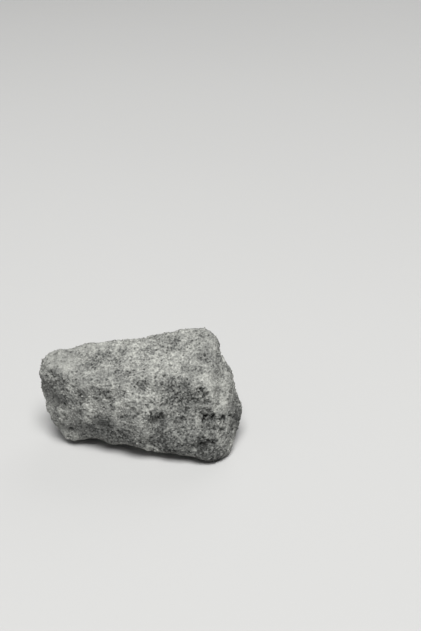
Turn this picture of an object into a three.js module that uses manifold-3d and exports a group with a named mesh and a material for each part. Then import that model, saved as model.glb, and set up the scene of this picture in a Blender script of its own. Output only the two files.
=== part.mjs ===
// A rough lump of massive grey alum, broken on every side and resting on a small flat spot.
// Millimetres, +Z up. The origin is the middle of the base, X runs along the lump and -Y faces its broad front.
import * as THREE from "three";
import { ConvexHull } from "three/addons/math/ConvexHull.js";
import { ImprovedNoise } from "three/addons/math/ImprovedNoise.js";
import { mergeVertices } from "three/addons/utils/BufferGeometryUtils.js";
import Module from "manifold-3d";

// The driving dimensions: the block that the lump was broken from.
const LENGTH = 72;
const DEPTH = 42;
const HEIGHT = 37;

const EDGE_WEAR = 0.75; // how far the edges between two fracture faces are worn round
const SCOOP_WEAR = 1.8; // how softly a scoop or a swelling runs into the face around it

// How finely the surface is worked out.
const BALL_DETAIL = 18; // how many times each edge of the first twenty triangles is cut
const HALVINGS = 20; // how many times the way out to the surface is halved
const FACE_STEPS = 6; // how many steps bring a place onto the block's face

// A place on the block, as shares of its length, depth and height.
const at = (along, across, up) => new THREE.Vector3(along * LENGTH, across * DEPTH, up * HEIGHT);
const CORE = at(0.02, -0.02, 0.45); // deep inside the lump, in sight of its whole surface
const HALF_BLOCK = new THREE.Vector3(LENGTH, DEPTH, HEIGHT).divideScalar(2);

// The corners where fracture faces meet.
const CORNERS = [
  // the crest, from the left end to the high right end
  at(-0.48, 0.07, 0.89),
  at(-0.29, 0.18, 0.925),
  at(-0.09, 0.24, 0.855),
  at(0.06, 0.25, 0.87),
  at(0.2, 0.27, 1.035),
  at(0.33, 0.24, 1.075),
  at(0.4, 0.16, 1.015),
  // the front shoulder, where the top turns down into the front
  at(-0.46, -0.14, 0.81),
  at(-0.3, -0.31, 0.81),
  at(-0.1, -0.34, 0.82),
  at(0.11, -0.28, 0.86),
  at(0.3, -0.35, 0.76),
  at(0.395, -0.35, 0.53),
  // the right end
  at(0.43, 0.0, 0.8),
  at(0.495, -0.06, 0.66),
  at(0.512, -0.05, 0.45),
  at(0.512, -0.06, 0.22),
  at(0.485, -0.2, 0.04),
  at(0.445, -0.46, 0.01),
  at(0.43, 0.22, 0.14),
  at(0.43, 0.24, 0.45),
  // the left end
  at(-0.5, 0.0, 0.6),
  at(-0.485, -0.08, 0.42),
  at(-0.45, -0.18, 0.24),
  at(-0.41, 0.18, 0.3),
  at(-0.44, 0.22, 0.62),
  // the front foot
  at(-0.385, -0.22, 0.03),
  at(-0.3, -0.13, 0.04),
  at(0.375, -0.56, 0.02),
  // the back
  at(-0.16, 0.37, 0.68),
  at(0.12, 0.4, 0.72),
  at(0.31, 0.37, 0.84),
  at(-0.22, 0.44, 0.42),
  at(0.02, 0.5, 0.38),
  at(0.25, 0.5, 0.4),
  at(-0.27, 0.31, 0.13),
  at(0.04, 0.4, 0.14),
  at(0.32, 0.36, 0.15),
  // the underside, a little below the floor in the middle, so that the flat spot is cut there
  at(-0.14, -0.08, -0.05),
  at(0.22, -0.2, -0.05),
  at(0.26, 0.06, -0.05),
  at(0.0, 0.1, -0.05),
];

// Scoops broken out of the faces: roughly where, which way the face looks, the radius and the depth, in mm.
const SCOOPS = [
  { name: "front hollow", place: at(0.2, -0.31, 0.66), out: [-0.1, -1, 0.15], radius: 9, depth: 1.9 },
  { name: "front hollow, lower end", place: at(0.31, -0.34, 0.53), out: [-0.1, -1, 0.1], radius: 7, depth: 1.7 },
  { name: "upper right pit", place: at(0.335, -0.34, 0.42), out: [-0.1, -1, 0.1], radius: 3.4, depth: 1.9 },
  { name: "lower right pit", place: at(0.31, -0.4, 0.2), out: [-0.1, -1, 0.1], radius: 3.2, depth: 1.6 },
  { name: "middle pit", place: at(0.1, -0.37, 0.41), out: [0, -1, 0.1], radius: 5, depth: 1.1 },
  { name: "notch under the crest", place: at(0.43, 0.15, 0.92), out: [1, 0, 0.3], radius: 8, depth: 1.5 },
  { name: "dip in the crest", place: at(0.03, 0.2, 0.97), out: [0, 0.4, 1], radius: 20, depth: 1.9 },
  { name: "dip in the crest, left end", place: at(-0.17, 0.18, 0.93), out: [0, 0.3, 1], radius: 16, depth: 1 },
  { name: "dip in the top", place: at(-0.22, -0.08, 0.86), out: [0, -0.2, 1], radius: 14, depth: 0.8 },
  { name: "undercut of the left foot", place: at(-0.24, -0.21, 0.03), out: [0, -0.6, -0.8], radius: 10, depth: 1.8 },
  { name: "undercut of the front", place: at(-0.05, -0.32, 0.02), out: [0, -0.6, -0.8], radius: 22, depth: 2.3 },
  { name: "undercut of the front, right end", place: at(0.13, -0.4, 0.02), out: [0, -0.6, -0.8], radius: 20, depth: 2 },
  { name: "left end hollow", place: at(-0.44, -0.18, 0.5), out: [-1, -0.8, 0], radius: 12, depth: 1 },
  { name: "back ledge", place: at(0.08, 0.46, 0.6), out: [0, 1, 0.3], radius: 13, depth: 2.4 },
  { name: "back left chip", place: at(-0.3, 0.34, 0.55), out: [-0.5, 1, 0.1], radius: 8, depth: 1.4 },
];

// Swellings that stand out of the faces, in the same form.
const SWELLINGS = [
  { name: "front rib", place: at(0.02, -0.36, 0.52), out: [0, -1, 0.2], radius: 9, depth: 1 },
  { name: "left front knob", place: at(-0.22, -0.33, 0.45), out: [0, -1, 0.2], radius: 7, depth: 0.8 },
  { name: "knob between the pits", place: at(0.38, -0.4, 0.3), out: [0.1, -1, 0.1], radius: 4, depth: 0.8 },
  { name: "belly over the left foot", place: at(-0.08, -0.32, 0.27), out: [0, -1, -0.2], radius: 14, depth: 1.3 },
  { name: "web under the rib", place: at(0.01, -0.38, 0.33), out: [0, -1, 0], radius: 10, depth: 2 },
];

// The broken surface's own relief: how far it stands in and out, and how wide each size of lump is, in mm.
const RELIEF = [
  { height: 1.3, width: 17 },
  { height: 0.75, width: 8 },
  { height: 0.45, width: 4 },
];
const RELIEF_START = new THREE.Vector3(31.7, 12.3, 57.1); // which stretch of the noise the lump takes

const noise = new ImprovedNoise();
const fractureFaces = new ConvexHull().setFromPoints(CORNERS).faces;
const scoops = SCOOPS.map(({ place, out, radius, depth }) => ballAt(place, out, radius, radius - depth));
const swellings = SWELLINGS.map(({ place, out, radius, depth }) => ballAt(place, out, radius, depth - radius));

// A ball whose middle lies the given way out of the block's face, or inside it where that is negative.
function ballAt(place, out, radius, lift) {
  const direction = new THREE.Vector3(...out).normalize();
  const middle = place.clone();
  for (let step = 0; step < FACE_STEPS; step++) middle.addScaledVector(direction, -distanceToBlock(middle));
  return { middle: middle.addScaledVector(direction, lift), radius };
}

// The larger of two distances, rounded over the given width where they cross.
function softMax(a, b, width) {
  const blend = Math.max(width - Math.abs(a - b), 0) / width;
  return Math.max(a, b) + (blend * blend * width) / 4;
}

// How far a point lies outside the block of fracture faces, with its edges worn round.
function distanceToBlock(point) {
  let largest = -Infinity;
  for (const face of fractureFaces) largest = Math.max(largest, face.distanceToPoint(point));
  let sum = 0;
  for (const face of fractureFaces) sum += Math.exp((face.distanceToPoint(point) - largest) / EDGE_WEAR);
  return largest + EDGE_WEAR * Math.log(sum);
}

// The relief of the broken surface at a point.
function relief(point) {
  let sum = 0;
  for (const { height, width } of RELIEF) {
    const p = point.clone().add(RELIEF_START).divideScalar(width);
    sum += height * noise.noise(p.x, p.y, p.z);
  }
  return sum;
}

// Negative inside the lump, positive outside it, and near to a distance in mm.
function outside(point) {
  let distance = distanceToBlock(point);
  for (const { middle, radius } of swellings)
    distance = -softMax(-distance, radius - point.distanceTo(middle), SCOOP_WEAR);
  for (const { middle, radius } of scoops)
    distance = softMax(distance, radius - point.distanceTo(middle), SCOOP_WEAR);
  return distance + relief(point);
}

// Where the line from the middle of the block along the given way first leaves the lump.
function wayOut(way) {
  let inner = 0;
  let outer = 2;
  for (let halving = 0; halving < HALVINGS; halving++) {
    const share = (inner + outer) / 2;
    if (outside(CORE.clone().addScaledVector(way, share)) < 0) inner = share;
    else outer = share;
  }
  return CORE.clone().addScaledVector(way, inner);
}

// A geometry of triangles that share their vertices.
function joined(geometry) {
  const bare = geometry.clone();
  bare.deleteAttribute("normal");
  bare.deleteAttribute("uv");
  return mergeVertices(bare);
}

// A ball of even triangles, stretched to the block's proportions, with each vertex moved out to the lump's surface.
function surface() {
  const ball = joined(new THREE.IcosahedronGeometry(1, BALL_DETAIL));
  const position = ball.attributes.position;
  for (let vertex = 0; vertex < position.count; vertex++) {
    const way = new THREE.Vector3().fromBufferAttribute(position, vertex).multiply(HALF_BLOCK);
    position.setXYZ(vertex, ...wayOut(way).toArray());
  }
  return ball;
}

const wasm = await Module();
wasm.setup();

// A closed geometry as a solid, and a solid as a geometry.
function solidOf(geometry) {
  const merged = joined(geometry);
  return new wasm.Manifold(
    new wasm.Mesh({
      numProp: 3,
      vertProperties: merged.attributes.position.array,
      triVerts: new Uint32Array(merged.index.array),
    }),
  );
}

function geometryOf(solid) {
  const mesh = solid.getMesh();
  return new THREE.BufferGeometry()
    .setAttribute("position", new THREE.BufferAttribute(mesh.vertProperties, 3))
    .setIndex(new THREE.BufferAttribute(mesh.triVerts, 1));
}

// The lump with everything below the floor cut away, which leaves the flat spot that it rests on.
function lump() {
  const floor = new THREE.BoxGeometry(2 * LENGTH, 2 * DEPTH, HEIGHT).translate(0, 0, -HEIGHT / 2);
  return geometryOf(solidOf(surface()).subtract(solidOf(floor)));
}

const alum = new THREE.MeshStandardMaterial({ color: 0x8c8d89, roughness: 0.85, metalness: 0 });
const stone = new THREE.Mesh(lump(), alum);
stone.name = "alum_crystal";
stone.geometry.computeBoundingBox();
const middle = stone.geometry.boundingBox.getCenter(new THREE.Vector3());
stone.position.set(-middle.x, -middle.y, 0);

const group = new THREE.Group();
group.add(stone);

export default group;
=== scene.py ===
"""A rough lump of massive grey alum, broken on every side, on a pale floor in soft studio light.

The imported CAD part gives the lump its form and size. This script works the surface up: the uneven break, the
pores and pits, the crumbs that stand on it, and its dull speckled finish. Names that end in _mm are
millimetres in the part's own frame, with +Z up and -Y towards the viewer. All other lengths are metres.
"""

import logging
import math
from dataclasses import dataclass, field, fields
from enum import Enum

import bmesh
import bpy
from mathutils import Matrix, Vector


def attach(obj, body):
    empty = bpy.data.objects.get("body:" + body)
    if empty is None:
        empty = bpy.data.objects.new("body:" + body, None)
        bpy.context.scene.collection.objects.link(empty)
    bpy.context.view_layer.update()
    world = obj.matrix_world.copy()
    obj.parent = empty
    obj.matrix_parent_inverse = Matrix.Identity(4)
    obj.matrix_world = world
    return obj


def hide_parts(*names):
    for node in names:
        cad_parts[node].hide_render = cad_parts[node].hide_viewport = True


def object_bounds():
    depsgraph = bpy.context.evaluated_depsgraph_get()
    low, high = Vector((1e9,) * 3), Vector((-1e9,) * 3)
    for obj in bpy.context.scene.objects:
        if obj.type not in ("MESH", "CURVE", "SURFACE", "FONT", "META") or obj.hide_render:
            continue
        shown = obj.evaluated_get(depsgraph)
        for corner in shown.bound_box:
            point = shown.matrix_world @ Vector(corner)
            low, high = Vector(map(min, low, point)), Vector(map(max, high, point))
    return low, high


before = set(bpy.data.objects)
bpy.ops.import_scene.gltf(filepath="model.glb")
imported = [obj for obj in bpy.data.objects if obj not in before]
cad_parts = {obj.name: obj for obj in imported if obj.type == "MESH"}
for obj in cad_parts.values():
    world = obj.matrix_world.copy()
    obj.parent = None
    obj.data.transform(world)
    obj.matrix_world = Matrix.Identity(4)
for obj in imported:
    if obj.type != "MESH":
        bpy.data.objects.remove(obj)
CAD_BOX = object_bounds()

MM = 0.001
CAD_NODE = "alum_crystal"
LOG = logging.getLogger("alum lump")

# The patterns of the surface.
NOISE_MIDDLE = 0.5
NOISE_SWING = 6.0  # Blender's noise mostly stays within a sixth of its middle
SEED_STEP_MM = (13.1, 7.7, 19.3)  # how far a seed of 1 moves the patterns along
FRAYED = 0.4  # how far a grain moves the edge of a hole, as a share of the hole's radius
FRAYED_AT_MOST_MM = 1.2  # the same in mm, past which a wide dip's edge isn't frayed further
SHADE_CORE = 0.2  # how much of a shade's radius has its full strength
SHADE_CROWDING = 2.5  # how much more a shade counts than a scattered patch in how crowded holes are

# Where the break and the crumbs fade out.
FULL_HEIGHT_MM = 1.2  # from this height over the floor both have their full strength
BARE_HEIGHT_MM = 0.4  # no crumb stands lower than this
THINNED_HOLLOW = 0.1  # this far into a hole the crumbs start to thin out
BARE_HOLLOW = 0.6  # and this far into it there are none
NARROWEST = 0.7  # how narrow a crumb may be along one of its three ways, as a share of its size
WIDEST = 1.3  # and how wide
DENSEST = 4e6  # crumbs on a square metre, more than their spacing lets through

MERGE_MM = 0.001  # corners of the CAD solid's triangles that are nearer than this are one

Socket = bpy.types.NodeSocket
Feed = Socket | float | int | tuple
Place = tuple[float, float, float]


class Bench:
    """Puts nodes into one tree, of geometry or of a material, and joins them up."""

    def __init__(self, tree: bpy.types.NodeTree) -> None:
        """Takes the tree that the nodes go into."""
        self.tree = tree

    def node(self, kind: str, feeds: dict | None = None, **choices: object) -> bpy.types.Node:
        """Adds a node to the tree.

        Args:
            kind: Blender's name for the type of node.
            feeds: What goes into each input, by the input's name or number: a socket or a plain value.
            choices: The node's own options, such as its operation.

        Returns:
            The new node.
        """
        made = self.tree.nodes.new(kind)
        for option, chosen in choices.items():
            setattr(made, option, chosen)
        for name, value in (feeds or {}).items():
            self.feed(made.inputs[name], value)
        return made

    def feed(self, socket: Socket, value: Feed) -> None:
        """Joins a socket to an input, or sets the input's own value.

        Args:
            socket: The input.
            value: The socket or plain value that it takes.
        """
        if isinstance(value, Socket):
            self.tree.links.new(value, socket)
        else:
            socket.default_value = value

    def number(self, operation: str, *values: Feed) -> Socket:
        """Works out one number from others, by an operation of the Math node."""
        return self.node("ShaderNodeMath", dict(enumerate(values)), operation=operation).outputs[0]

    def vector(self, operation: str, *values: Feed) -> Socket:
        """Works out a vector from others, or a number where the Vector Math node's operation gives one."""
        made = self.node("ShaderNodeVectorMath", dict(enumerate(values)), operation=operation)
        return made.outputs["Value" if operation in ("DISTANCE", "DOT_PRODUCT") else "Vector"]

    def scaled(self, vector: Feed, factor: Feed) -> Socket:
        """Multiplies a vector by a number."""
        made = self.node("ShaderNodeVectorMath", {0: vector, "Scale": factor}, operation="SCALE")
        return made.outputs["Vector"]

    def eased(
        self, value: Feed, low: Feed, high: Feed, to_low: Feed = 0.0, to_high: Feed = 1.0, label: str = ""
    ) -> Socket:
        """Runs a number smoothly from one level to another between two limits.

        Args:
            value: The number.
            low: The limit where the result has the first level.
            high: The limit where it has the second.
            to_low: The first level.
            to_high: The second level.
            label: What is written on the node.

        Returns:
            The result's socket.
        """
        feeds = {"Value": value, "From Min": low, "From Max": high, "To Min": to_low, "To Max": to_high}
        made = self.node("ShaderNodeMapRange", feeds, interpolation_type="SMOOTHSTEP", label=label)
        return made.outputs[0]

    def cloud(self, place: Feed, width: Feed, detail: float = 2.0, roughness: float = 0.5) -> bpy.types.Node:
        """Adds soft noise.

        Args:
            place: Where it is read.
            width: How wide its largest lumps are, in the same unit.
            detail: How many finer layers it has.
            roughness: How strong each finer layer is.

        Returns:
            The noise node: the first output is a number about 0.5, the second three of them as a colour.
        """
        feeds = {
            "Vector": place,
            "Scale": self.number("DIVIDE", 1.0, width),
            "Detail": detail,
            "Roughness": roughness,
        }
        return self.node("ShaderNodeTexNoise", feeds)

    def swing(self, place: Feed, width: Feed, detail: float = 2.0, roughness: float = 0.5) -> Socket:
        """Adds soft noise as cloud does, but one that swings about 0, mostly between -1 and 1."""
        level = self.cloud(place, width, detail, roughness).outputs[0]
        return self.number("MULTIPLY", self.number("SUBTRACT", level, NOISE_MIDDLE), NOISE_SWING)

    def cells(self, place: Feed, width: Feed) -> tuple[Socket, Socket]:
        """Divides space into irregular cells.

        Args:
            place: Where they are read.
            width: How wide a cell is, in the same unit.

        Returns:
            How far the middle of the cell is, in the same unit, and three random numbers that it holds.
        """
        feeds = {"Vector": place, "Scale": self.number("DIVIDE", 1.0, width)}
        made = self.node("ShaderNodeTexVoronoi", feeds)
        return self.number("MULTIPLY", made.outputs["Distance"], width), made.outputs["Color"]

    def parts(self, vector: Feed) -> list[Socket]:
        """Splits a vector or colour into its three numbers."""
        return list(self.node("ShaderNodeSeparateXYZ", {0: vector}).outputs)

    def mixed(self, share: Feed, first: Feed, second: Feed) -> Socket:
        """Mixes two colours: all of the first where the share is 0, all of the second where it is 1."""
        return self.node("ShaderNodeMix", {0: share, 6: first, 7: second}, data_type="RGBA").outputs[2]


@dataclass(frozen=True)
class Crowd:
    """How holes of one kind are spread over the cells, and how much they differ.

    Args:
        dark: How light a patch is, about 0, where the most cells hold a hole.
        light: How light it is where the fewest do.
        most: The share of the cells with a hole in dark patches.
        fewest: The share in light patches.
        smallest: The smallest hole's radius, as a share of the average.
        largest: The largest hole's radius, as a share of the average.
        flat: How much of a hole's radius is flat before its wall starts.
    """

    dark: float
    light: float
    most: float
    fewest: float
    smallest: float
    largest: float
    flat: float

    def share(self, bench: Bench, lightness: Feed) -> Socket:
        """Works out the share of the cells with a hole, from how light the patch is."""
        return bench.eased(lightness, self.dark, self.light, self.most, self.fewest)


PORES = Crowd(dark=-1.0, light=1.0, most=0.95, fewest=0.2, smallest=0.6, largest=1.3, flat=0.3)
PITS = Crowd(dark=-0.9, light=0.5, most=0.6, fewest=0.1, smallest=0.6, largest=1.3, flat=0.3)
DOTS = Crowd(dark=-1.2, light=1.2, most=1.0, fewest=0.35, smallest=0.6, largest=1.4, flat=0.2)


class MarkForm(Enum):
    """How a mark on the surface is cut across: how much of its radius is flat before its wall starts."""

    PIT = 0.35
    DIP = 0.0
    RIDGE = 0.05


@dataclass(frozen=True)
class Mark:
    """One feature of the surface that has its own place.

    Args:
        name: What it is, which is written on its node.
        form: How it is cut across.
        start: One end of it, in mm.
        end: Its other end, in mm, the same as the first where it is round.
        radius_mm: How far it reaches to each side.
        depth_mm: How deep it is, or below zero how far it stands out.
    """

    name: str
    form: MarkForm
    start: Place
    end: Place
    radius_mm: float
    depth_mm: float


@dataclass(frozen=True)
class Shade:
    """A patch of the surface that is darker or lighter than the rest, and more or less speckled.
    Many patches are painted shade, darker where the light reaches less, or painted light, lighter where it
    falls full; the others are mottling.

    Args:
        name: Where it is, which is written on its node.
        middle: Its middle, in mm.
        radius_mm: How far it reaches before it has faded out.
        amount: How much lighter it is, or below zero how much darker; on many patches this is painted light
            and painted shade.
        speckled: How much stronger its speckles are, or below zero how much weaker.
    """

    name: str
    middle: Place
    radius_mm: float
    amount: float
    speckled: float


MARKS = (
    Mark("dip of the hollow's right end", MarkForm.DIP, (20.8, -12.9, 25.6), (22.3, -13.4, 22.4), 2.6, 0.8),
    Mark("upper pit of the hollow", MarkForm.PIT, (21.5, -12.6, 26.3), (22.6, -12.7, 24.9), 1.5, 0.8),
    Mark("groove below it", MarkForm.PIT, (22.9, -13.1, 23.7), (22.5, -13.8, 21.5), 0.7, 0.4),
    Mark("small pit beside it", MarkForm.PIT, (24.1, -12.7, 22.9), (24.8, -12.4, 23.3), 0.75, 0.6),
    Mark("dip of the upper right pits", MarkForm.DIP, (22.3, -14.0, 17.0), (24.2, -14.2, 16.2), 3.4, 0.8),
    Mark("first upper right pit", MarkForm.PIT, (22.2, -14.4, 15.7), (22.4, -14.3, 16.4), 0.8, 0.8),
    Mark("second upper right pit", MarkForm.PIT, (23.3, -14.2, 16.6), (23.3, -14.2, 16.6), 0.65, 0.7),
    Mark("third upper right pit", MarkForm.PIT, (24.6, -14.2, 16.2), (25.2, -14.1, 16.9), 0.65, 0.6),
    Mark("fourth upper right pit", MarkForm.PIT, (21.2, -14.4, 15.9), (21.2, -14.4, 15.9), 0.6, 0.5),
    Mark("pit by the right edge", MarkForm.PIT, (28.8, -13.1, 14.5), (28.8, -12.9, 15.0), 1.45, 1.0),
    Mark("groove in the right end", MarkForm.PIT, (26.0, -16.1, 13.6), (29.6, -14.8, 12.0), 1.35, 0.9),
    Mark("slit in the right end", MarkForm.PIT, (23.2, -18.8, 9.1), (25.4, -18.3, 8.8), 0.7, 0.9),
    Mark("dip below the slit", MarkForm.DIP, (20.8, -18.9, 7.9), (20.8, -18.9, 7.9), 1.7, 0.7),
    Mark("dip above the slit", MarkForm.DIP, (21.8, -18.9, 11.4), (21.8, -18.9, 11.4), 1.5, 0.6),
    Mark("groove below the hollow", MarkForm.DIP, (13.7, -14.7, 18.6), (15.0, -15.5, 16.6), 1.3, 0.7),
    Mark("dip in the middle of the front", MarkForm.DIP, (4.4, -17.0, 17.8), (6.1, -16.2, 16.2), 2.4, 0.6),
    Mark("dip next to it", MarkForm.DIP, (7.6, -15.8, 17.6), (8.2, -15.7, 16.0), 1.9, 0.7),
    Mark("dip over the left foot", MarkForm.DIP, (-15.2, -13.4, 13.0), (-10.7, -14.4, 11.0), 4.0, 0.4),
    Mark("dip at the left of the front", MarkForm.DIP, (-12.9, -12.9, 26.8), (-10.8, -14.0, 23.4), 1.7, 0.6),
    Mark("dip at the left shoulder", MarkForm.DIP, (-22.0, -11.0, 25.0), (-19.6, -11.8, 23.0), 2.0, 0.6),
    Mark("dip under the left shoulder", MarkForm.DIP, (-18.7, -12.0, 21.3), (-18.7, -12.0, 21.3), 2.0, 0.6),
    Mark("dip in the left end", MarkForm.DIP, (-32.1, -5.2, 23.8), (-28.6, -8.4, 17.7), 4.0, 0.5),
    Mark("dip in the crest", MarkForm.DIP, (-5.5, 9.5, 35.4), (-1.5, 11.5, 35.0), 6.0, 1.4),
    Mark("dip behind the crest", MarkForm.DIP, (-6.5, 11.0, 34.2), (-2.0, 12.5, 33.6), 4.5, 0.8),
    Mark("notch under the crest", MarkForm.DIP, (28.4, 9.8, 29.9), (29.0, 3.0, 28.9), 2.8, 1.6),
    Mark("corner of the crest", MarkForm.RIDGE, (24.0, 8.0, 36.0), (26.4, 8.0, 33.6), 4.2, -0.9),
    Mark("worn left corner", MarkForm.DIP, (-32.0, 2.5, 31.5), (-33.8, -0.5, 29.0), 4.5, 0.9),
    Mark("edge of the left end", MarkForm.RIDGE, (-31.8, -2.8, 29.4), (-24.3, -7.0, 29.2), 2.0, -0.6),
    Mark("dip under that edge", MarkForm.DIP, (-31.2, -5.0, 27.4), (-26.6, -7.9, 26.8), 2.2, 0.8),
    Mark("ridge beside the hollow", MarkForm.RIDGE, (22.4, -11.0, 28.0), (25.0, -11.0, 25.0), 1.4, -0.5),
    Mark("ridge down the right end", MarkForm.RIDGE, (26.6, -11.9, 21.2), (28.4, -12.4, 17.2), 1.5, -0.5),
    Mark("knob in the front's middle", MarkForm.RIDGE, (-3.5, -14.7, 23.8), (0.6, -13.8, 25.8), 2.6, -0.5),
    Mark("crack under the crest", MarkForm.PIT, (25.8, 0.4, 33.3), (27.4, 1.0, 32.2), 0.45, 0.7),
    Mark("groove in the right edge", MarkForm.DIP, (31.8, -5.4, 21.1), (31.4, -8.7, 18.7), 1.3, 0.7),
    Mark("crack in the right edge", MarkForm.PIT, (31.0, -10.6, 14.6), (31.8, -10.0, 14.0), 0.6, 0.8),
)

# Placed patches. Many are painted shade: the foot, the ends, the hollow and the pits are darkened where the
# light reaches less. Others are painted light on lit ridges and on the top. The rest are mottling.
SHADES = (
    # The hollow and the pits: painted shade in and around the recesses.
    Shade("hollow", (14.0, -12.9, 24.5), 8.5, -0.55, 0.3),
    Shade("upper end of the hollow", (9.0, -11.3, 28.0), 5.5, -0.35, 0.2),
    Shade("right end of the hollow", (21.3, -12.3, 25.4), 3.0, -0.35, 0.2),
    Shade("ledge in the hollow", (20.6, -13.1, 24.9), 2.2, -0.5, 0.0),
    Shade("lower end of the hollow", (21.0, -13.7, 21.0), 5.5, -0.35, 0.0),
    Shade("upper right pits", (23.5, -14.5, 16.6), 4.0, -0.5, 0.2),
    Shade("below the hollow", (14.5, -15.2, 17.3), 5.5, -0.4, 0.2),
    Shade("left of the right pits", (16.0, -16.5, 14.0), 5.5, -0.45, 0.1),
    Shade("between the right pits", (21.5, -17.3, 13.5), 5.5, -0.6, 0.2),
    Shade("lower right pits", (22.5, -18.9, 9.5), 4.5, -0.4, 0.3),
    Shade("by the groove", (24.7, -16.2, 12.6), 3.5, -0.35, 0.1),
    Shade("foot below the right pits", (19.2, -19.4, 6.2), 4.0, -0.4, 0.1),
    Shade("middle of the front", (5.6, -16.3, 17.0), 5.0, -0.4, 0.2),
    Shade("right of the middle", (9.6, -15.0, 17.3), 4.5, -0.3, 0.1),
    Shade("left of the middle", (-6.5, -15.6, 13.5), 5.0, -0.3, 0.0),
    # The lower front and the foot: painted shade, darker towards the floor.
    Shade("under the middle of the front", (8.0, -17.3, 11.5), 7.5, -0.5, 0.2),
    Shade("over the left foot", (-12.8, -13.7, 11.8), 7.5, -0.75, -0.5),
    Shade("between the feet", (-18.0, -12.1, 9.5), 5.0, -0.25, -0.2),
    Shade("foot of the front", (-3.5, -16.5, 9.5), 7.0, -0.4, 0.4),
    Shade("foot of the front, left", (-9.0, -14.8, 6.0), 8.0, -0.35, 0.3),
    Shade("foot of the front, middle", (5.0, -18.0, 5.0), 8.0, -0.3, 0.4),
    Shade("foot of the front, right", (15.0, -19.5, 5.0), 10.0, -0.5, 0.1),
    Shade("right foot", (25.5, -19.3, 4.0), 9.0, -0.7, 0.1),
    Shade("middle of the front, left end", (-10.5, -13.9, 20.8), 4.5, -0.4, 0.1),
    Shade("rib of the front, lower end", (-1.1, -15.6, 22.3), 4.5, -0.3, 0.0),
    Shade("belly of the left foot", (-17.0, -12.8, 15.4), 4.0, 0.45, 0.0),
    # The right edge: painted shade where it turns from the light.
    Shade("right edge", (33.5, -7.0, 17.0), 6.5, -0.5, 0.0),
    Shade("right edge, upper end", (29.3, -7.8, 21.5), 4.0, -0.15, 0.0),
    Shade("right edge, lower end", (34.5, -6.0, 10.5), 7.0, -0.5, 0.0),
    Shade("left of the front", (-11.6, -13.7, 25.0), 4.0, -0.35, 0.2),
    # The left shoulder and the left end: painted shade on the side turned from the light, with painted light
    # just over its edge.
    Shade("left shoulder", (-22.0, -11.5, 22.5), 6.0, -0.45, 0.2),
    Shade("left end", (-30.5, -5.8, 20.5), 9.0, -0.5, -0.45),
    Shade("left end, under the crest", (-27.5, -7.5, 26.8), 5.0, -0.5, -0.1),
    Shade("left end, upper edge", (-28.8, -5.4, 28.5), 3.6, -0.6, 0.0),
    Shade("over the edge of the left end", (-25.5, -4.6, 30.4), 4.0, 0.15, -0.1),
    Shade("left foot", (-22.5, -10.6, 11.5), 6.5, -0.25, -0.4),
    Shade("top", (2.0, -1.0, 34.0), 27.0, 0.0, 0.3),
    Shade("left of the top", (-15.5, -0.5, 31.6), 6.0, -0.3, 0.3),
    Shade("left of the top, next patch", (-9.5, -1.5, 32.5), 4.0, -0.25, 0.2),
    Shade("patch on the shoulder", (-6.7, -9.0, 30.9), 2.6, -0.25, 0.2),
    Shade("patch in the upper front", (-0.8, -12.2, 29.0), 2.6, -0.25, 0.2),
    Shade("patch by the crest", (3.8, 0.6, 34.8), 3.5, -0.15, 0.0),
    Shade("patch over the hollow", (16.4, -6.7, 31.9), 2.8, -0.4, 0.2),
    Shade("next patch over the hollow", (20.5, -6.5, 31.2), 2.8, -0.4, 0.2),
    Shade("right of the top, dark patch", (22.3, -2.6, 32.4), 3.2, -0.35, 0.2),
    Shade("crest, right end", (12.2, 5.8, 36.0), 3.0, -0.3, 0.1),
    Shade("top right corner", (25.5, -0.5, 32.0), 5.0, -0.45, 0.1),
    # Lighter patches on the top, the crest, the right end and the front: painted light.
    Shade("corner of the top, left", (-28.0, -1.0, 31.0), 8.0, 0.2, -0.5),
    Shade("crest, left of the middle", (-7.3, 5.2, 33.8), 4.0, 0.35, 0.0),
    Shade("crest, right of the middle", (19.0, 2.6, 34.5), 4.0, 0.3, 0.0),
    Shade("left end of the top", (-22.4, -1.5, 31.2), 5.0, 0.3, 0.0),
    Shade("left of the crest", (-15.5, 5.0, 33.6), 7.0, 0.3, -0.3),
    Shade("right of the top", (13.0, -4.8, 32.8), 7.0, 0.35, 0.0),
    Shade("over the right end", (25.0, -8.8, 27.5), 6.0, 0.4, -0.2),
    Shade("right end", (27.5, -11.5, 20.0), 5.0, 0.35, -0.2),
    Shade("beside the hollow", (2.5, -13.8, 25.5), 5.0, 0.2, 0.0),
    Shade("middle of the front, left", (-7.0, -14.9, 21.5), 5.0, 0.2, 0.0),
    # Painted shade in the pit by the right edge, and painted light on the band and the rise beside it.
    Shade("pit by the right edge", (28.9, -12.6, 14.9), 1.7, -1.0, 0.0),
    Shade("light band by the right edge", (29.7, -10.8, 18.0), 3.0, 0.15, 0.0),
    Shade("light band, upper end", (29.4, -5.5, 24.8), 4.5, 0.25, 0.0),
    Shade("light band, lower end", (29.6, -13.8, 12.4), 3.0, 0.2, 0.0),
    Shade("over the pit of the hollow", (24.1, -11.7, 24.6), 3.5, 0.2, 0.0),
    Shade("left end, under its edge", (-30.0, -7.0, 26.4), 4.0, 0.25, 0.0),
    Shade("middle of the left end", (-27.4, -8.9, 21.2), 4.5, -0.4, 0.0),
    Shade("upper front, left of the rib", (-5.5, -12.2, 29.8), 3.5, -0.3, 0.1),
    Shade("upper front, over the rib", (1.5, -13.2, 27.3), 4.5, -0.3, 0.1),
    Shade("over the middle pit", (3.3, -17.5, 18.8), 3.0, -0.45, 0.1),
    Shade("next patch by the crest", (9.0, -0.3, 34.0), 3.5, -0.25, 0.1),
)


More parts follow.
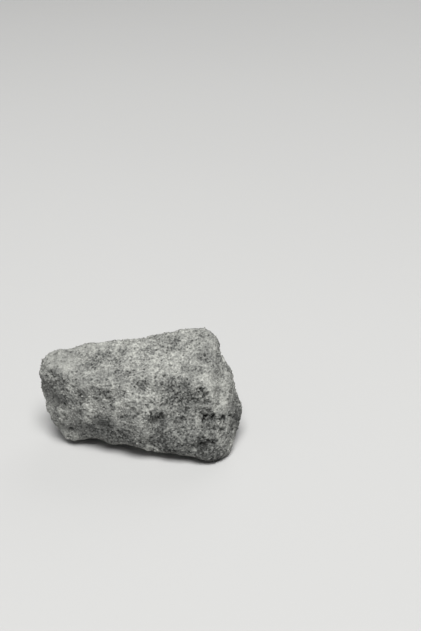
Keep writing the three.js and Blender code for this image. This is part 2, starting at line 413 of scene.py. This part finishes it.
@dataclass(frozen=True)
class BreakSizes:
    """The sizes of the broken surface, in mm. Each one is an input of the Geometry Nodes tree.

    Args:
        sunk_mm: How far the whole surface lies inside the CAD solid, so that nothing stands out of its box.
        wander_mm: How far the patterns are pushed about, so that no pore or lump is round.
        wander_width_mm: How far apart two places are that are pushed different ways.
        relief_mm: How far the uneven break goes in and out.
        relief_width_mm: How wide its lumps are.
        grain_mm: How far the coarse grain goes in and out.
        grain_width_mm: How wide a coarse grain is.
        pore_depth_mm: How deep a pore is.
        pore_radius_mm: How wide it is to each side.
        pore_spacing_mm: How far apart pores can be.
        pit_depth_mm: How deep a pit is.
        pit_radius_mm: How wide it is to each side.
        pit_spacing_mm: How far apart pits can be.
        darkness: How dark pores and pits are painted, a painted shade in them, as a share of the darkness of
            the marks with their own places.
        patch_width_mm: How wide the patches with more or fewer pores are.
        seed: Which stretch of the patterns the surface takes.
    """

    sunk_mm: float = 0.3
    wander_mm: float = 0.5
    wander_width_mm: float = 2.2
    relief_mm: float = 0.42
    relief_width_mm: float = 5.0
    grain_mm: float = 0.12
    grain_width_mm: float = 1.5
    pore_depth_mm: float = 0.4
    pore_radius_mm: float = 0.62
    pore_spacing_mm: float = 1.6
    pit_depth_mm: float = 0.6
    pit_radius_mm: float = 1.0
    pit_spacing_mm: float = 5.0
    darkness: float = 0.65
    patch_width_mm: float = 8.0
    seed: int = 7


@dataclass(frozen=True)
class CrumbSizes:
    """The sizes of the crumbs on the surface. Each one is an input of the Geometry Nodes tree.

    Args:
        radius_mm: How large an average crumb is to each side.
        spacing_mm: How near two crumbs can be.
        smallest: The smallest crumb's size, as a share of the average.
        largest: The largest crumb's size, as a share of the average.
        seed: Which of the random layouts is taken.
    """

    radius_mm: float = 0.24
    spacing_mm: float = 0.98
    smallest: float = 0.6
    largest: float = 1.25
    seed: int = 11


class Recipe:
    """A Geometry Nodes tree with named inputs: a dataclass's fields, the CAD box's corners and a finish."""

    def __init__(self, name: str, sizes: object, finish: bpy.types.Material) -> None:
        """Starts the tree.

        Args:
            name: What the tree is called.
            sizes: The dataclass whose fields become the tree's inputs.
            finish: The material that the result gets.
        """
        self.tree = bpy.data.node_groups.new(name, "GeometryNodeTree")
        self.bench = Bench(self.tree)
        self.values: dict[str, object] = {}
        interface = self.tree.interface
        interface.new_socket("Geometry", in_out="INPUT", socket_type="NodeSocketGeometry")
        interface.new_socket("Geometry", in_out="OUTPUT", socket_type="NodeSocketGeometry")
        for size in fields(sizes):
            kind = "NodeSocketInt" if size.type is int else "NodeSocketFloat"
            self.inlet(size.name, kind, getattr(sizes, size.name))
        for corner, place in zip(("lowest", "highest"), CAD_BOX):
            self.inlet(f"{corner}_corner", "NodeSocketVector", place)
        self.inlet("finish", "NodeSocketMaterial", finish)
        self.given = self.tree.nodes.new("NodeGroupInput").outputs

    def inlet(self, name: str, kind: str, value: object) -> None:
        """Adds a named input with a kind of Blender's sockets, and notes its value for the modifier."""
        socket = self.tree.interface.new_socket(name, in_out="INPUT", socket_type=kind)
        self.values[socket.identifier] = value

    def seeded_place(self) -> Socket:
        """Gives each point's place in mm, moved along by the seed.

        Returns:
            The place's socket.
        """
        position = self.bench.node("GeometryNodeInputPosition").outputs[0]
        along = self.bench.scaled(SEED_STEP_MM, self.given["seed"])
        return self.bench.vector("ADD", self.bench.scaled(position, 1 / MM), along)

    def close(self, geometry: Socket) -> None:
        """Holds the geometry inside the CAD part's box, and ends the tree.

        Args:
            geometry: What the tree has made so far.
        """
        bench = self.bench
        real = bench.node("GeometryNodeRealizeInstances", {"Geometry": geometry})
        position = bench.node("GeometryNodeInputPosition").outputs[0]
        raised = bench.vector("MAXIMUM", position, self.given["lowest_corner"])
        held = bench.vector("MINIMUM", raised, self.given["highest_corner"])
        inside = bench.node("GeometryNodeSetPosition", {"Geometry": real.outputs[0], "Position": held})
        feeds = {"Geometry": inside.outputs[0], "Material": self.given["finish"]}
        dressed = bench.node("GeometryNodeSetMaterial", feeds)
        bench.node("NodeGroupOutput", {0: dressed.outputs[0]})

    def noted(self, geometry: Feed, name: str, value: Feed, domain: str = "POINT") -> Socket:
        """Keeps a named number on the geometry, on its points or another domain, for the finish to read."""
        feeds = {"Geometry": geometry, "Name": name, "Value": value}
        return self.bench.node("GeometryNodeStoreNamedAttribute", feeds, domain=domain).outputs[0]

    def run_on(self, piece: bpy.types.Object) -> bpy.types.Mesh:
        """Runs the tree on an object, after the modifiers that it has.

        Args:
            piece: The object, which has none of its modifiers left afterwards.

        Returns:
            The result as a new plain mesh.
        """
        modifier = piece.modifiers.new(self.tree.name, "NODES")
        modifier.node_group = self.tree
        for identifier, value in self.values.items():
            modifier[identifier] = value
        graph = bpy.context.evaluated_depsgraph_get()
        evaluated = piece.evaluated_get(graph)
        mesh = bpy.data.meshes.new_from_object(evaluated, preserve_all_data_layers=True, depsgraph=graph)
        piece.modifiers.clear()
        return mesh


class BreakRecipe(Recipe):
    """Breaks up a smooth surface: relief, grains, pores, pits and the marks with their own places."""

    def __init__(self, sizes: BreakSizes, finish: bpy.types.Material) -> None:
        """Builds the tree.

        Args:
            sizes: The sizes of the broken surface.
            finish: The material that it gets.
        """
        super().__init__("Broken surface", sizes, finish)
        bench = self.bench
        given = self.given
        self.here = bench.scaled(bench.node("GeometryNodeInputPosition").outputs[0], 1 / MM)
        self.shaken = self.pushed_about(self.seeded_place())
        self.shaken_here = self.pushed_about(self.here)
        self.grain = bench.swing(self.shaken, given["grain_width_mm"], detail=2.0, roughness=0.6)
        tone, speckled = self.patches()
        holes, depth = self.holes(tone)
        for mark in MARKS:
            holes, depth = self.with_mark(mark, holes, depth)
        rise = bench.number("SUBTRACT", self.unevenness(), depth)
        normal = bench.node("GeometryNodeInputNormal").outputs[0]
        offset = bench.scaled(normal, bench.number("MULTIPLY", rise, MM))
        noted = self.noted(given["Geometry"], "hollow", holes)
        # The placed patches, with their painted shade and painted light, go to the finish.
        noted = self.noted(noted, "tone", tone)
        noted = self.noted(noted, "speckled", speckled)
        noted = self.noted(noted, "grain", self.grain)
        moved = bench.node("GeometryNodeSetPosition", {"Geometry": noted, "Offset": offset})
        feeds = {"Geometry": moved.outputs[0], "Shade Smooth": True}
        self.close(bench.node("GeometryNodeSetShadeSmooth", feeds).outputs[0])

    def pushed_about(self, place: Socket) -> Socket:
        """Pushes places about, so that the patterns read there are irregular.

        Args:
            place: The places.

        Returns:
            The pushed places.
        """
        bench = self.bench
        cloud = bench.cloud(place, self.given["wander_width_mm"], detail=1.0).outputs[1]
        push = bench.vector("SUBTRACT", cloud, (NOISE_MIDDLE,) * 3)
        reach = bench.number("MULTIPLY", self.given["wander_mm"], NOISE_SWING)
        return bench.vector("ADD", place, bench.scaled(push, reach))

    def unevenness(self) -> Socket:
        """Works out how far the surface stands out of the CAD solid, in mm, before its holes.

        Returns:
            The height's socket. It fades out at the floor, where the flat spot stays flat.
        """
        bench = self.bench
        given = self.given
        relief = bench.swing(self.shaken, given["relief_width_mm"], detail=2.0, roughness=0.5)
        total = bench.number("MULTIPLY", relief, given["relief_mm"])
        total = bench.number("MULTIPLY_ADD", self.grain, given["grain_mm"], total)
        total = bench.number("SUBTRACT", total, given["sunk_mm"])
        height = bench.parts(self.here)[2]
        return bench.number("MULTIPLY", total, bench.eased(height, 0.0, FULL_HEIGHT_MM))

    def holes(self, tone: Socket) -> tuple[Socket, Socket]:
        """Scatters pores and pits, more of them in darker patches.

        Args:
            tone: How much lighter or darker each point is.

        Returns:
            How much of a hole each point is in, from 0 to 1, and how deep it is there, in mm.
        """
        bench = self.bench
        given = self.given
        patch = bench.swing(self.shaken, given["patch_width_mm"], detail=3.0, roughness=0.7)
        lightness = bench.number("MULTIPLY_ADD", tone, SHADE_CROWDING, patch)
        pore = self.scattered("pore", PORES, lightness)
        pit = self.scattered("pit", PITS, lightness)
        depth = bench.number(
            "ADD",
            bench.number("MULTIPLY", pore, given["pore_depth_mm"]),
            bench.number("MULTIPLY", pit, given["pit_depth_mm"]),
        )
        # The share also darkens the finish there, a painted shade in the holes.
        return bench.number("MULTIPLY", bench.number("MAXIMUM", pore, pit), given["darkness"]), depth

    def scattered(self, name: str, crowd: Crowd, lightness: Socket) -> Socket:
        """Puts a ragged hole at the middle of some cells.

        Args:
            name: Which of the sizes it takes: pore or pit.
            crowd: How the holes are spread.
            lightness: How light the patch is, about 0.

        Returns:
            How much of a hole each point is in, from 0 to 1.
        """
        bench = self.bench
        away, drawn = bench.cells(self.shaken, self.given[f"{name}_spacing_mm"])
        has_one, size, _ = bench.parts(drawn)
        size = bench.eased(size, 0.0, 1.0, crowd.smallest, crowd.largest)
        radius = bench.number("MULTIPLY", self.given[f"{name}_radius_mm"], size)
        hole = self.ragged(bench.number("DIVIDE", away, radius), crowd.flat)
        chosen = bench.number("LESS_THAN", has_one, crowd.share(bench, lightness))
        return bench.number("MULTIPLY", hole, chosen)

    def ragged(self, away: Socket, flat: float, frayed: float = FRAYED, label: str = "") -> Socket:
        """Cuts a hole with an edge that the grains fray, by how many radii away its middle is."""
        away = self.bench.number("MULTIPLY_ADD", self.grain, frayed, away)
        return self.bench.eased(away, flat, 1.0, 1.0, 0.0, label)

    def with_mark(self, mark: Mark, holes: Feed, depth: Feed) -> tuple[Socket, Socket]:
        """Adds one mark to the holes.

        Args:
            mark: The mark.
            holes: How much of a hole each point is in so far.
            depth: How deep the holes are so far, in mm.

        Returns:
            The new share and the new depth.
        """
        bench = self.bench
        start, end = Vector(mark.start), Vector(mark.end)
        along = end - start
        nearest = tuple(start)
        if along.length > 0:
            from_start = bench.vector("SUBTRACT", self.shaken_here, tuple(start))
            share = bench.vector("DOT_PRODUCT", from_start, tuple(along / along.length_squared))
            share = bench.number("MINIMUM", bench.number("MAXIMUM", share, 0.0), 1.0)
            nearest = bench.vector("ADD", bench.scaled(tuple(along), share), tuple(start))
        away = bench.number("DIVIDE", bench.vector("DISTANCE", self.shaken_here, nearest), mark.radius_mm)
        frayed = min(FRAYED, FRAYED_AT_MOST_MM / mark.radius_mm)
        cut = self.ragged(away, mark.form.value, frayed, mark.name)
        depth = bench.number("MULTIPLY_ADD", cut, mark.depth_mm, depth)
        # A pit also darkens the finish inside it, a painted shade.
        if mark.form is MarkForm.PIT:
            holes = bench.number("MAXIMUM", holes, cut)
        return holes, depth

    def patches(self) -> tuple[Socket, Socket]:
        """Adds up the patches that have their own place.

        Returns:
            How much lighter each point is, partly mottling and partly painted shade and painted light,
            and how much more speckled.
        """
        bench = self.bench
        tone = speckled = 0.0
        for shade in SHADES:
            away = bench.vector("DISTANCE", self.shaken_here, shade.middle)
            core = shade.radius_mm * SHADE_CORE
            share = bench.eased(away, core, shade.radius_mm, 1.0, 0.0, shade.name)
            # Each patch adds its amount: painted shade and painted light on many patches, mottling on the
            # rest.
            tone = bench.number("MULTIPLY_ADD", share, shade.amount, tone)
            speckled = bench.number("MULTIPLY_ADD", share, shade.speckled, speckled)
        return tone, speckled


class CrumbRecipe(Recipe):
    """Sets small angular crumbs on a surface, half sunk into it."""

    def __init__(self, sizes: CrumbSizes, finish: bpy.types.Material) -> None:
        """Builds the tree.

        Args:
            sizes: The sizes of the crumbs.
            finish: The material that they get.
        """
        super().__init__("Crumbs", sizes, finish)
        bench = self.bench
        given = self.given
        hollow = bench.node("GeometryNodeInputNamedAttribute", {"Name": "hollow"}).outputs[0]
        height = bench.parts(bench.node("GeometryNodeInputPosition").outputs[0])[2]
        raised = bench.eased(height, BARE_HEIGHT_MM * MM, FULL_HEIGHT_MM * MM)
        outside = bench.eased(hollow, THINNED_HOLLOW, BARE_HOLLOW, 1.0, 0.0)
        feeds = {
            "Mesh": given["Geometry"],
            "Distance Min": bench.number("MULTIPLY", given["spacing_mm"], MM),
            "Density Max": DENSEST,
            "Density Factor": bench.number("MULTIPLY", outside, raised),
            "Seed": given["seed"],
        }
        points = bench.node("GeometryNodeDistributePointsOnFaces", feeds, distribute_method="POISSON")
        radius = bench.number("MULTIPLY", given["radius_mm"], MM)
        crumb = bench.node("GeometryNodeMeshIcoSphere", {"Radius": radius, "Subdivisions": 1})
        turn = self.drawn(0.0, math.tau, 1)
        size, lit, _ = bench.parts(self.drawn(0.0, 1.0, 2))
        size = bench.eased(size, 0.0, 1.0, given["smallest"], given["largest"])
        feeds = {
            "Points": points.outputs[0],
            "Instance": crumb.outputs[0],
            "Rotation": turn,
            "Scale": bench.scaled(self.drawn(NARROWEST, WIDEST, 3), size),
        }
        crumbs = bench.node("GeometryNodeInstanceOnPoints", feeds).outputs[0]
        self.close(self.noted(crumbs, "lit", lit, "INSTANCE"))

    def drawn(self, low: float, high: float, step: int) -> Socket:
        """Draws three random numbers for each crumb, with a seed that is a step away from the recipe's."""
        feeds = {0: (low,) * 3, 1: (high,) * 3, "Seed": self.bench.number("ADD", self.given["seed"], step)}
        return self.bench.node("FunctionNodeRandomValue", feeds, data_type="FLOAT_VECTOR").outputs[0]


@dataclass(frozen=True)
class AlumFinish:
    """Dull, grainy grey alum: light grains, pores darkened with painted shade, mottled patches, and placed
    patches of painted shade and painted light.

    Args:
        name: What the material is called.
        greys: Its greys, from the painted shade at the bottom of a pore at 0 to the brightest crystal at 1.
        clean: Where the average of the surface stands among the greys.
        speckle_weights: How much each pattern adds to the speckles.
        grey_weights: How much each pattern moves the surface among the greys.
        mottle_width_mm: How wide the mottled patches are.
        clot_width_mm: How wide the clots of lighter and darker grains are.
        speckle_width_mm: How wide a single speckle is.
        fine_width_mm: How wide the finest grain is.
        dot_spacing_mm: How far apart the smallest pores can be.
        dot_radius_mm: How wide one is to each side.
        roughest: How rough the surface is on its darkest speckles.
        smoothest: How rough it is on its lightest.
        specular: How strong its reflections are.
        bump_mm: How deep the speckles stand in the surface.
        fine_bump: How deep the finest grain stands in it, as a share of that.
    """

    name: str = "alum"
    greys: tuple = (
        (0.0, (0.036, 0.0365, 0.035, 1.0)),
        (0.25, (0.102, 0.104, 0.100, 1.0)),
        (0.5, (0.216, 0.219, 0.208, 1.0)),
        (0.75, (0.36, 0.363, 0.342, 1.0)),
        (1.0, (0.55, 0.555, 0.52, 1.0)),
    )
    clean: float = 0.59
    # The dots darken the speckles where the smallest pores are: painted shade in them.
    speckle_weights: tuple = (("clot", 0.07), ("speckle", 0.13), ("dots", -0.3), ("grain", 0.05))
    grey_weights: tuple = (
        ("speckles", 1.0),
        ("stronger speckles", 1.0),
        ("mottle", 0.13),
        # The placed patches: painted shade and painted light, with some mottling.
        ("tone", 0.42),
        # Painted shade in pores and pits.
        ("hollow", -0.3),
        ("lit", 0.15),
    )
    mottle_width_mm: float = 6.0
    clot_width_mm: float = 2.2
    speckle_width_mm: float = 0.75
    fine_width_mm: float = 0.35
    dot_spacing_mm: float = 1.05
    dot_radius_mm: float = 0.42
    roughest: float = 0.93
    smoothest: float = 0.75
    specular: float = 0.3
    bump_mm: float = 0.09
    fine_bump: float = 0.35

    def made(self) -> bpy.types.Material:
        """Builds the material.

        Returns:
            The new material.
        """
        material = bpy.data.materials.new(self.name)
        material.use_nodes = True
        bench = Bench(material.node_tree)
        shader = material.node_tree.nodes["Principled BSDF"]
        place = bench.scaled(bench.node("ShaderNodeTexCoord").outputs["Object"], 1 / MM)
        found = self.patterns(bench, place)
        level = self.weighed(bench, found, self.grey_weights, self.clean)
        bench.feed(shader.inputs["Base Color"], self.grey(bench, level))
        rough = bench.eased(found["speckle"], -1.0, 1.0, self.roughest, self.smoothest)
        bench.feed(shader.inputs["Roughness"], rough)
        bench.feed(shader.inputs["Specular IOR Level"], self.specular)
        fine = bench.swing(place, self.fine_width_mm, detail=1.0)
        grit = bench.number("MULTIPLY_ADD", fine, self.fine_bump, found["speckle"])
        grit = bench.number("SUBTRACT", grit, found["dots"])
        bump = bench.node("ShaderNodeBump", {"Strength": 1.0, "Distance": self.bump_mm * MM, "Height": grit})
        bench.feed(shader.inputs["Normal"], bump.outputs[0])
        return material

    def patterns(self, bench: Bench, place: Socket) -> dict[str, Socket]:
        """Makes the patterns that the greys are mixed from.

        Args:
            bench: The bench of the material's tree.
            place: Where they are read, in mm.

        Returns:
            The patterns by name, with the numbers that the geometry carries among them.
        """
        found = {name: self.read(bench, name) for name in ("tone", "speckled", "hollow", "grain", "lit")}
        found["mottle"] = bench.swing(place, self.mottle_width_mm, detail=2.0, roughness=0.6)
        found["clot"] = bench.swing(place, self.clot_width_mm, detail=1.0)
        found["speckle"] = bench.swing(place, self.speckle_width_mm, detail=1.0, roughness=0.4)
        lightness = bench.number("MULTIPLY_ADD", found["tone"], SHADE_CROWDING, found["mottle"])
        found["dots"] = self.dots(bench, place, lightness)
        found["speckles"] = self.weighed(bench, found, self.speckle_weights, 0.0)
        found["stronger speckles"] = bench.number("MULTIPLY", found["speckles"], found["speckled"])
        return found

    def weighed(self, bench: Bench, found: dict[str, Socket], weights: tuple, total: Feed) -> Socket:
        """Adds some of the patterns to a number, each by its weight.

        Args:
            bench: The bench of the material's tree.
            found: The patterns by name.
            weights: The names of those that are added, and their weights.
            total: The number.

        Returns:
            The sum's socket.
        """
        for name, weight in weights:
            total = bench.number("MULTIPLY_ADD", found[name], weight, total)
        return total

    def dots(self, bench: Bench, place: Feed, lightness: Feed) -> Socket:
        """Scatters the smallest pores, more of them in darker patches. The finish paints them darker, a
        painted shade, and dents its bump there.

        Args:
            bench: The bench of the material's tree.
            place: Where they are read, in mm.
            lightness: How light the patch is, about 0.

        Returns:
            How much of a pore each place is in, from 0 to 1.
        """
        away, drawn = bench.cells(place, self.dot_spacing_mm)
        has_one, size, _ = bench.parts(drawn)
        smallest = self.dot_radius_mm * DOTS.smallest
        largest = self.dot_radius_mm * DOTS.largest
        radius = bench.eased(size, 0.0, 1.0, smallest, largest)
        dot = bench.eased(bench.number("DIVIDE", away, radius), DOTS.flat, 1.0, 1.0, 0.0)
        chosen = bench.number("LESS_THAN", has_one, DOTS.share(bench, lightness))
        return bench.number("MULTIPLY", dot, chosen)

    def grey(self, bench: Bench, level: Socket) -> Socket:
        """Turns a level into its grey.

        Args:
            bench: The bench of the material's tree.
            level: From 0, the darkest, to 1, the lightest.

        Returns:
            The colour's socket.
        """
        ramp = bench.node("ShaderNodeValToRGB", {"Fac": level})
        stops = ramp.color_ramp.elements
        while len(stops) < len(self.greys):
            stops.new(1.0)
        for stop, (position, colour) in zip(stops, self.greys):
            stop.position = position
            stop.color = colour
        return ramp.outputs["Color"]

    def read(self, bench: Bench, name: str) -> Socket:
        """Reads a number that the geometry carries."""
        return bench.node("ShaderNodeAttribute", attribute_name=name).outputs["Fac"]


@dataclass
class Lump:
    """The lump itself.

    Args:
        finish: Its material.
        name: What the piece is called.
        body: The CAD body that it rides on.
        slot: The record's slot for its finish. Not used.
        smoothing: How many times the CAD solid's triangles are divided and smoothed.
        cell_mm: How wide the faces of its final mesh are, before the surface is broken up.
        sizes: The sizes of the broken surface.
    """

    finish: bpy.types.Material
    name: str = "alum_lump"
    body: str = "root"
    slot: str = "alum"
    smoothing: int = 2
    cell_mm: float = 0.37
    sizes: BreakSizes = field(default_factory=BreakSizes)

    def blank(self) -> bpy.types.Object:
        """Copies the CAD solid, closes its triangles up and smooths them into a fine even mesh.

        Returns:
            An object with the smoothing as live modifiers.
        """
        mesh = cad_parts[CAD_NODE].data.copy()
        edit = bmesh.new()
        edit.from_mesh(mesh)
        bmesh.ops.remove_doubles(edit, verts=edit.verts, dist=MERGE_MM * MM)
        edit.to_mesh(mesh)
        edit.free()
        mesh.materials.clear()
        mesh.name = self.name
        piece = bpy.data.objects.new(self.name, mesh)
        bpy.context.scene.collection.objects.link(piece)
        rounding = piece.modifiers.new("Rounding", "SUBSURF")
        rounding.levels = rounding.render_levels = self.smoothing
        remesh = piece.modifiers.new("Even mesh", "REMESH")
        remesh.mode = "VOXEL"
        remesh.voxel_size = self.cell_mm * MM
        return piece

    def build(self) -> bpy.types.Object:
        """Makes the piece, in place of the CAD node.

        Returns:
            The finished piece.
        """
        piece = self.blank()
        piece.data = BreakRecipe(self.sizes, self.finish).run_on(piece)
        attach(piece, self.body)
        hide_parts(CAD_NODE)
        report(piece)
        return piece


@dataclass
class Crumbs:
    """The small crumbs that stand on the lump.

    Args:
        finish: Their material.
        name: What the piece is called.
        body: The CAD body that it rides on.
        slot: The record's slot for its finish. Not used.
        sizes: The sizes of the crumbs.
    """

    finish: bpy.types.Material
    name: str = "alum_crumbs"
    body: str = "root"
    slot: str = "alum"
    sizes: CrumbSizes = field(default_factory=CrumbSizes)

    def build(self, lump: bpy.types.Object) -> bpy.types.Object:
        """Makes the piece.

        Args:
            lump: The finished lump that they stand on.

        Returns:
            The finished piece.
        """
        piece = bpy.data.objects.new(self.name, lump.data.copy())
        bpy.context.scene.collection.objects.link(piece)
        piece.data = CrumbRecipe(self.sizes, self.finish).run_on(piece)
        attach(piece, self.body)
        report(piece)
        return piece


@dataclass(frozen=True)
class FloorFinish:
    """Matt, pale, very slightly uneven paper.

    Args:
        name: What the material is called.
        first: Its colour.
        second: The colour that it wanders to.
        width: How wide the uneven patches are.
        roughness: How rough it is.
        specular: How strong its reflections are.
    """

    name: str = "pale paper"
    first: tuple = (0.54, 0.54, 0.54, 1.0)
    second: tuple = (0.51, 0.51, 0.51, 1.0)
    width: float = 0.4
    roughness: float = 0.9
    specular: float = 0.1

    def made(self) -> bpy.types.Material:
        """Builds the material.

        Returns:
            The new material.
        """
        material = bpy.data.materials.new(self.name)
        material.use_nodes = True
        bench = Bench(material.node_tree)
        shader = material.node_tree.nodes["Principled BSDF"]
        place = bench.node("ShaderNodeTexCoord").outputs["Object"]
        uneven = bench.cloud(place, self.width, detail=1.0).outputs[0]
        bench.feed(shader.inputs["Base Color"], bench.mixed(uneven, self.first, self.second))
        bench.feed(shader.inputs["Roughness"], self.roughness)
        bench.feed(shader.inputs["Specular IOR Level"], self.specular)
        return material


@dataclass(frozen=True)
class Softbox:
    """A square light with a soft edge.

    Args:
        name: Which light it is.
        towards: The way from the lump to the light.
        distance: How far away it hangs.
        width: How wide it is.
        power: How strong it is, in watts.
        colour: Its colour.
    """

    name: str
    towards: Place
    distance: float
    width: float
    power: float
    colour: tuple = (1.0, 1.0, 1.0)

    def hang(self, middle: Vector) -> None:
        """Hangs the light up, facing the lump.

        Args:
            middle: The place that it faces.
        """
        lamp = bpy.data.lights.new(self.name, "AREA")
        lamp.shape = "SQUARE"
        lamp.size = self.width
        lamp.energy = self.power
        lamp.color = self.colour
        holder = bpy.data.objects.new(self.name, lamp)
        bpy.context.scene.collection.objects.link(holder)
        way = Vector(self.towards).normalized()
        holder.location = middle + way * self.distance
        holder.rotation_euler = way.to_track_quat("Z", "Y").to_euler()


@dataclass(frozen=True)
class Studio:
    """The pale floor and the soft light.

    Args:
        floor_radius: How far the floor reaches.
        floor_sides: How many sides its edge has.
        sky: The colour of the light from all round.
        sky_strength: How strong that light is.
        lights: The lights.
    """

    floor_radius: float = 6.0
    floor_sides: int = 96
    sky: tuple = (1.0, 1.0, 1.0, 1.0)
    sky_strength: float = 0.1
    lights: tuple = (
        Softbox("key light", (0.03, -0.38, 0.92), 2.2, 1.1, 69.0, (1.0, 0.998, 0.98)),
        Softbox("back light", (0.3, 0.75, 0.6), 2.2, 1.4, 8.0, (1.0, 1.0, 0.99)),
        Softbox("fill light", (-0.7, -0.5, 0.5), 2.2, 1.8, 1.6, (0.99, 0.995, 1.0)),
    )

    def build(self) -> None:
        """Makes the floor, hangs the lights and lights the sky."""
        self.lay_floor()
        middle = sum(CAD_BOX, Vector()) / 2
        for light in self.lights:
            light.hang(middle)
        world = bpy.data.worlds.new("sky")
        world.use_nodes = True
        background = world.node_tree.nodes["Background"]
        background.inputs["Color"].default_value = self.sky
        background.inputs["Strength"].default_value = self.sky_strength
        bpy.context.scene.world = world
        bpy.context.scene.view_settings.view_transform = "Standard"
        LOG.info("studio: %d lights and a floor %.1f m across", len(self.lights), 2 * self.floor_radius)

    def lay_floor(self) -> None:
        """Makes the floor, a disc at height zero."""
        mesh = bpy.data.meshes.new("floor")
        edit = bmesh.new()
        bmesh.ops.create_circle(edit, cap_ends=True, segments=self.floor_sides, radius=self.floor_radius)
        edit.to_mesh(mesh)
        edit.free()
        mesh.materials.append(FloorFinish().made())
        floor = bpy.data.objects.new("floor", mesh)
        bpy.context.scene.collection.objects.link(floor)


@dataclass(frozen=True)
class PhotoCamera:
    """The camera where the photograph was taken from.

    Args:
        anchor_mm: A point in the lump.
        anchor_pixel: Where that point lies in the picture, from its top left corner.
        distance: How far the camera is from it.
        pitch: How far the camera looks down, in degrees.
        lens_mm: Its focal length.
        sensor_mm: Its sensor's long side.
        picture: The picture's width and height in pixels.
        nearest: How near a thing may be to show in it.
        furthest: How far away it may be.
    """

    anchor_mm: Place = (-0.652, 1.113, 14.5)
    anchor_pixel: tuple = (140.0, 398.0)
    distance: float = 0.375
    pitch: float = 28.0
    lens_mm: float = 60.0
    sensor_mm: float = 36.0
    picture: tuple = (421, 631)
    nearest: float = 0.01
    furthest: float = 50.0

    def location(self) -> Vector:
        """Works out where the camera stands.

        Returns:
            Its place, from which the anchor lies behind its pixel.
        """
        width, height = self.picture
        focal = max(self.picture) * self.lens_mm / self.sensor_mm
        down = math.radians(self.pitch)
        forward = Vector((0, math.cos(down), -math.sin(down)))
        upward = Vector((0, math.sin(down), math.cos(down)))
        across = (self.anchor_pixel[0] - width / 2) / focal
        above = (height / 2 - self.anchor_pixel[1]) / focal
        ray = Vector((1, 0, 0)) * across + upward * above + forward
        return Vector(self.anchor_mm) * MM - ray.normalized() * self.distance

    def set_up(self) -> None:
        """Puts the camera in place and makes it the scene's."""
        lens = bpy.data.cameras.new("camera")
        lens.lens = self.lens_mm
        lens.sensor_width = self.sensor_mm
        lens.clip_start = self.nearest
        lens.clip_end = self.furthest
        holder = bpy.data.objects.new("camera", lens)
        bpy.context.scene.collection.objects.link(holder)
        holder.location = self.location()
        holder.rotation_euler = (math.radians(90 - self.pitch), 0.0, 0.0)
        bpy.context.scene.camera = holder
        LOG.info("camera: at %s", [round(x, 4) for x in holder.location])


def report(piece: bpy.types.Object) -> None:
    """Logs a finished piece.

    Args:
        piece: The piece.
    """
    triangles = sum(len(face.vertices) - 2 for face in piece.data.polygons)
    sides = [side / MM for side in piece.dimensions]
    LOG.info("%s: %d triangles, %.1f x %.1f x %.1f mm", piece.name, triangles, *sides)


def main() -> None:
    """Builds the lump, its crumbs, the studio and the camera, in that order."""
    logging.basicConfig(level=logging.INFO, format="%(name)s: %(message)s")
    finish = AlumFinish().made()
    lump = Lump(finish).build()
    Crumbs(finish).build(lump)
    Studio().build()
    PhotoCamera().set_up()


if __name__ == "__main__":
    main()
